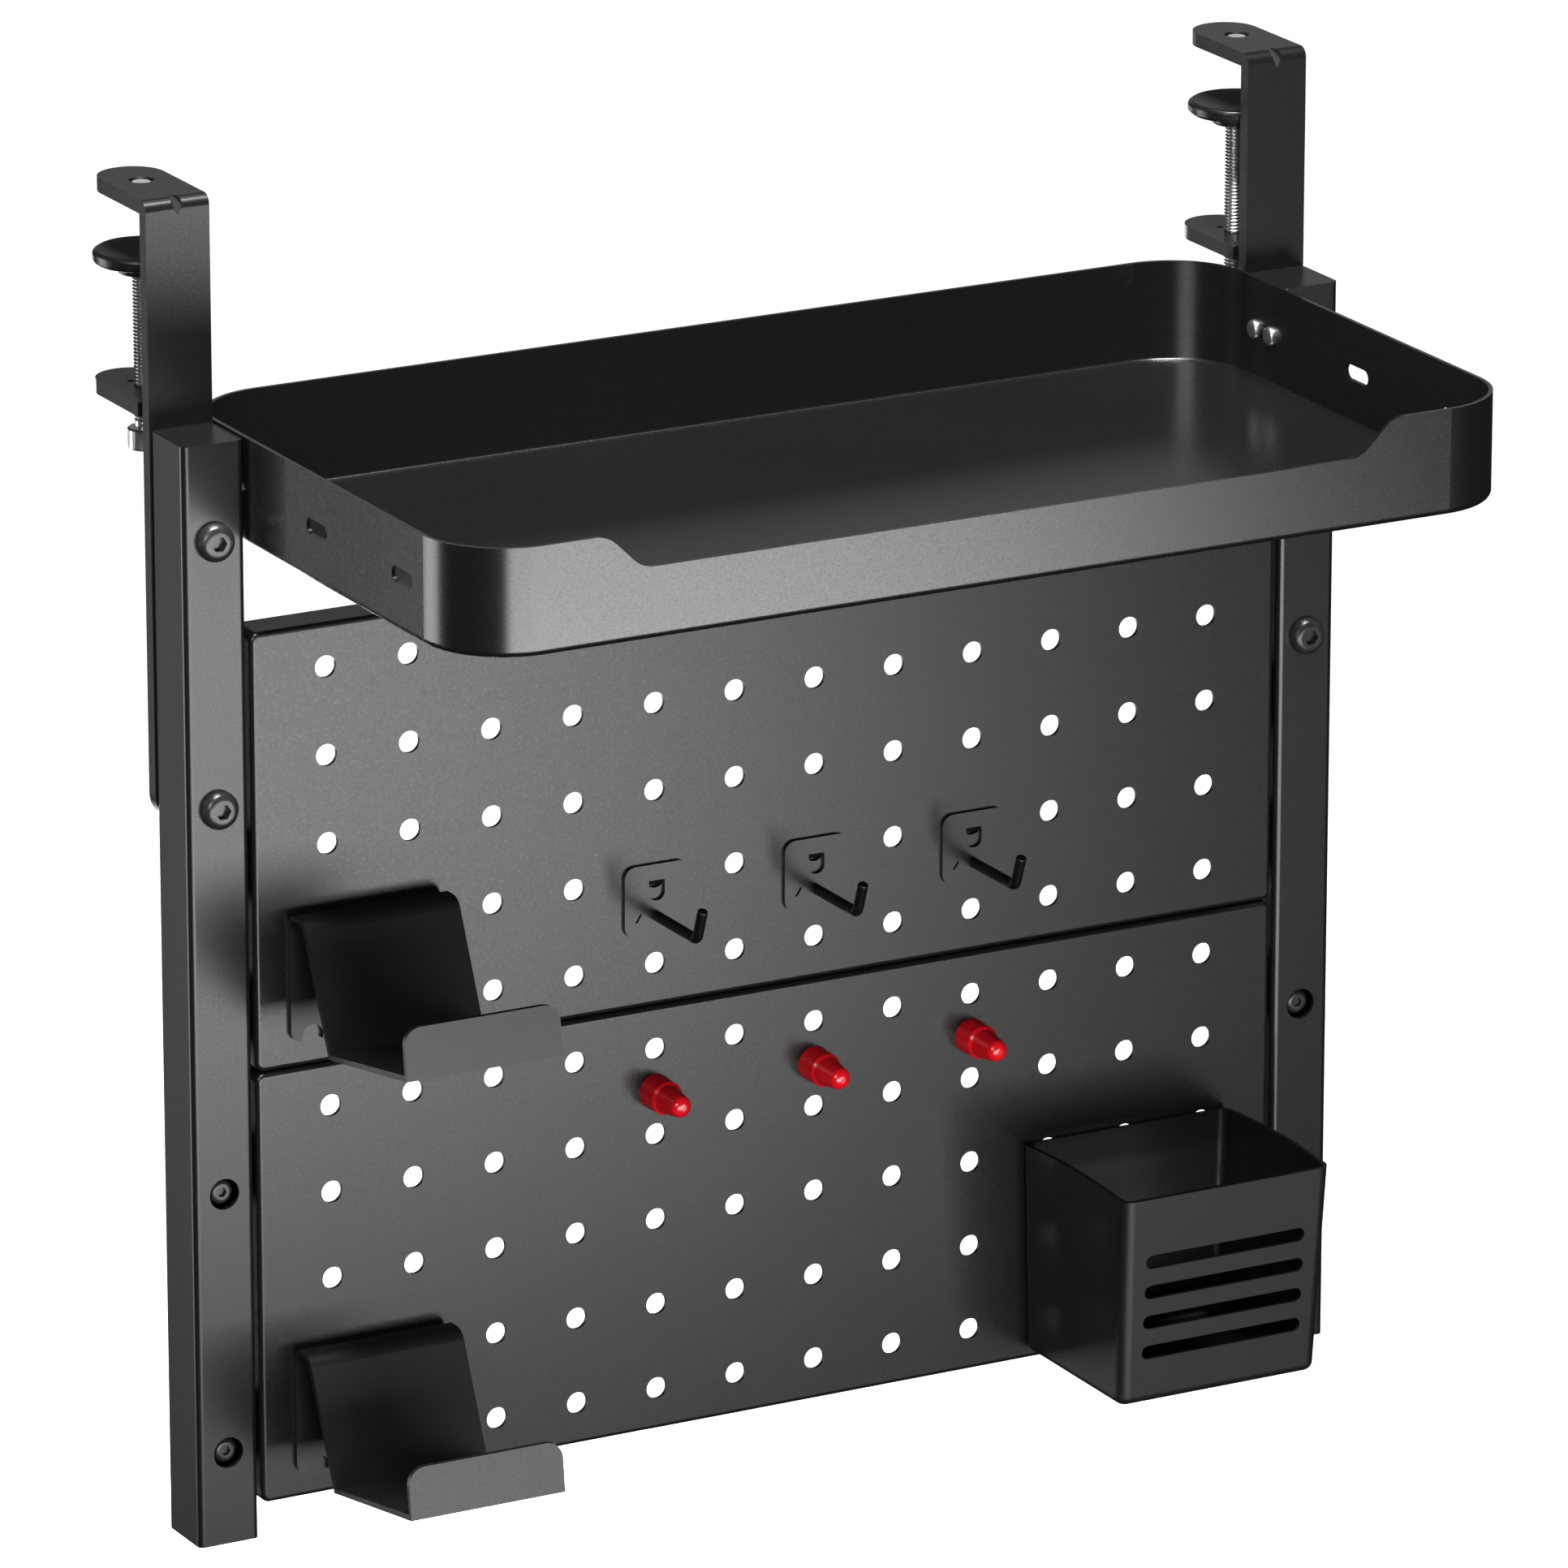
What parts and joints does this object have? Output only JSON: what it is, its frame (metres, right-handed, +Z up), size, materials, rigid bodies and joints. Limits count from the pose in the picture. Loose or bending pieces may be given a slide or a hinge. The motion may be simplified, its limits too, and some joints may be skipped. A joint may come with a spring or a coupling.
{
  "type": "desk-mounted pegboard tool wall",
  "caption": "Pegboard panels between two square posts that clamp to a desk edge, with a tray across the top, hooks, magnetic pins, sloping holders and a slotted cup.",
  "frame": {"origin": "midpoint between the two clamps on the desk's top front edge: z = 0 is the plane of the top tabs' undersides, y = 0 the straps' rear faces", "axes": "+X to the right along the desk edge seen from the front, +Y in under the desk away from the viewer, +Z up"},
  "size_m": [0.373, 0.1927, 0.3825],
  "materials": {
    "powder_coat": "satin black powder coat over folded steel sheet",
    "rod_coat": "black powder coat on round steel rod",
    "black_steel": "blackened steel screws",
    "zinc": "bright zinc-plated steel",
    "rubber": "matt black rubber",
    "black_plastic": "matt black moulded plastic",
    "red_plastic": "glossy red plastic",
    "nickel": "nickel-plated magnet"
  },
  "bodies": {
    "frame": {"left_tab_rivet": "zinc", "left_post": "powder_coat", "left_post_top_cap": "black_plastic", "left_post_bottom_cap": "black_plastic", "left_clamp_strap": "powder_coat", "left_clamp_lower_tab": "powder_coat", "left_strap_bolts": "black_steel", "left_recessed_screws": "black_steel", "left_ear_screws": "black_steel", "left_tray_screws": "zinc", "right_tab_rivet": "zinc", "right_post": "powder_coat", "right_post_top_cap": "black_plastic", "right_post_bottom_cap": "black_plastic", "right_clamp_strap": "powder_coat", "right_clamp_lower_tab": "powder_coat", "right_strap_bolts": "black_steel", "right_recessed_screws": "black_steel", "right_ear_screws": "black_steel", "right_tray_screws": "zinc", "upper_pegboard": "powder_coat", "lower_pegboard": "powder_coat", "tray": "powder_coat"},
    "left_pad": {"left_clamp_pad": "powder_coat", "left_pad_facing": "rubber"},
    "left_screw": {"left_clamp_screw": "zinc"},
    "right_pad": {"right_clamp_pad": "powder_coat", "right_pad_facing": "rubber"},
    "right_screw": {"right_clamp_screw": "zinc"},
    "hook_1": {"hook_plate_1": "powder_coat", "hook_rod_1": "rod_coat"},
    "hook_2": {"hook_plate_2": "powder_coat", "hook_rod_2": "rod_coat"},
    "hook_3": {"hook_plate_3": "powder_coat", "hook_rod_3": "rod_coat"},
    "pin_1": {"magnetic_pin_1": "red_plastic", "pin_magnet_1": "nickel"},
    "pin_2": {"magnetic_pin_2": "red_plastic", "pin_magnet_2": "nickel"},
    "pin_3": {"magnetic_pin_3": "red_plastic", "pin_magnet_3": "nickel"},
    "upper_holder_body": {"upper_holder": "powder_coat"},
    "lower_holder_body": {"lower_holder": "powder_coat"},
    "cup_body": {"pen_cup": "powder_coat"}
  },
  "joints": [
    {"name": "left_pad_travel", "type": "slide", "parent": "frame", "child": "left_pad", "axis": [0, 0, 1], "range_m": [-0.0315, 0.0075]},
    {"name": "left_screw_turn", "type": "hinge", "parent": "left_pad", "child": "left_screw", "pos_m": [-0.1728, 0.0187, -0.045], "axis": [0, 0, 1], "range_deg": [-11346, 2706]},
    {"name": "right_pad_travel", "type": "slide", "parent": "frame", "child": "right_pad", "axis": [0, 0, 1], "range_m": [-0.0315, 0.0075]},
    {"name": "right_screw_turn", "type": "hinge", "parent": "right_pad", "child": "right_screw", "pos_m": [0.1728, 0.0187, -0.045], "axis": [0, 0, 1], "range_deg": [-11346, 2706]},
    {"name": "hook_1_lift", "type": "slide", "parent": "frame", "child": "hook_1", "axis": [0, 0, 1], "range_m": [0, 0.0025]},
    {"name": "hook_2_lift", "type": "slide", "parent": "frame", "child": "hook_2", "axis": [0, 0, 1], "range_m": [0, 0.0025]},
    {"name": "hook_3_lift", "type": "slide", "parent": "frame", "child": "hook_3", "axis": [0, 0, 1], "range_m": [0, 0.0025]},
    {"name": "pin_1_pull", "type": "slide", "parent": "frame", "child": "pin_1", "axis": [0, -1, 0], "range_m": [0, 0.02]},
    {"name": "pin_2_pull", "type": "slide", "parent": "frame", "child": "pin_2", "axis": [0, -1, 0], "range_m": [0, 0.02]},
    {"name": "pin_3_pull", "type": "slide", "parent": "frame", "child": "pin_3", "axis": [0, -1, 0], "range_m": [0, 0.02]},
    {"name": "upper_holder_lift", "type": "slide", "parent": "frame", "child": "upper_holder_body", "axis": [0, 0, 1], "range_m": [0, 0.003]},
    {"name": "lower_holder_lift", "type": "slide", "parent": "frame", "child": "lower_holder_body", "axis": [0, 0, 1], "range_m": [0, 0.003]},
    {"name": "cup_lift", "type": "slide", "parent": "frame", "child": "cup_body", "axis": [0, 0, 1], "range_m": [0, 0.003]}
  ],
  "couplings": [
    {"joint": "left_screw_turn", "follows": "left_pad_travel", "rad_per_m": 6283.2},
    {"joint": "right_screw_turn", "follows": "right_pad_travel", "rad_per_m": 6283.2}
  ]
}
